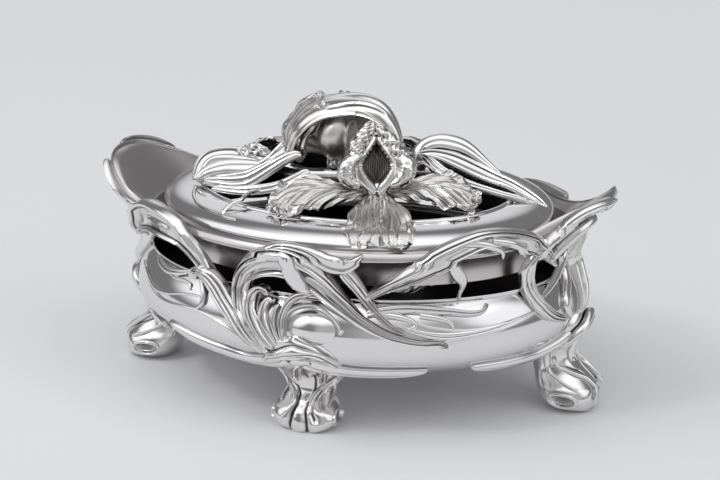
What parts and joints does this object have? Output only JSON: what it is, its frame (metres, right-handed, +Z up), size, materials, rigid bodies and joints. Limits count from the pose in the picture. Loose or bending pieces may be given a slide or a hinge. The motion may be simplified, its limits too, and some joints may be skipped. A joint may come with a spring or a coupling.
{
  "type": "oval covered box",
  "caption": "Oval footed silver box with a flared collar, end lips, cast iris foliage and a lift-off openwork lid with a blossom finial.",
  "frame": {"origin": "on the table plane under the middle of the bowl", "axes": "+X along the box towards its right-hand lip, +Z up, the front with its foot and main scroll towards -Y"},
  "size_m": [0.261, 0.1804, 0.1503],
  "materials": {
    "polished_sheet": "mirror-polished silver sheet",
    "cast_silver": "polished cast silver with darkened grooves",
    "blossom_silver": "finely textured bright cast silver"
  },
  "bodies": {
    "box": {"bowl": "polished_sheet", "collar": "polished_sheet", "lid_seat": "polished_sheet", "foot_front": "cast_silver", "foot_back": "cast_silver", "foot_right": "cast_silver", "foot_left": "cast_silver", "scroll_front": "cast_silver", "scroll_back": "cast_silver", "whiplash_front": "cast_silver", "whiplash_back": "cast_silver", "leaves_front": "cast_silver", "leaves_back": "cast_silver", "boss_front": "cast_silver", "boss_back": "cast_silver", "bud_front": "cast_silver", "bud_back": "cast_silver", "tendrils_front": "cast_silver", "tendrils_back": "cast_silver", "crescent_right": "cast_silver", "crescent_left": "cast_silver", "lip_stem_right": "cast_silver", "lip_stem_left": "cast_silver", "iris_bud_right": "cast_silver", "iris_bud_left": "cast_silver", "hook_left": "cast_silver", "hook_right": "cast_silver"},
    "lid": {"lid_band": "polished_sheet", "lid_bezel": "polished_sheet", "opening_wire": "polished_sheet", "core_front": "blossom_silver", "core_back": "blossom_silver", "crest_front_left": "blossom_silver", "crest_back_right": "blossom_silver", "crest_front_right": "blossom_silver", "crest_back_left": "blossom_silver", "throat_front": "blossom_silver", "throat_back": "blossom_silver", "fall_front_centre": "blossom_silver", "fall_back_centre": "blossom_silver", "fall_front_left": "blossom_silver", "fall_back_right": "blossom_silver", "fall_front_right": "blossom_silver", "fall_back_left": "blossom_silver", "hood": "blossom_silver", "finial_stems": "cast_silver", "finial_bud": "blossom_silver", "finial_blade": "blossom_silver", "lid_leaf_ribbed": "cast_silver", "lid_leaf_back": "cast_silver", "lid_leaf_front": "cast_silver", "lid_blade": "cast_silver", "lid_leaf_curled": "cast_silver"}
  },
  "joints": [
    {"name": "lid_lift", "type": "slide", "parent": "box", "child": "lid", "axis": [0, 0, 1], "range_m": [0, 0.06]}
  ]
}
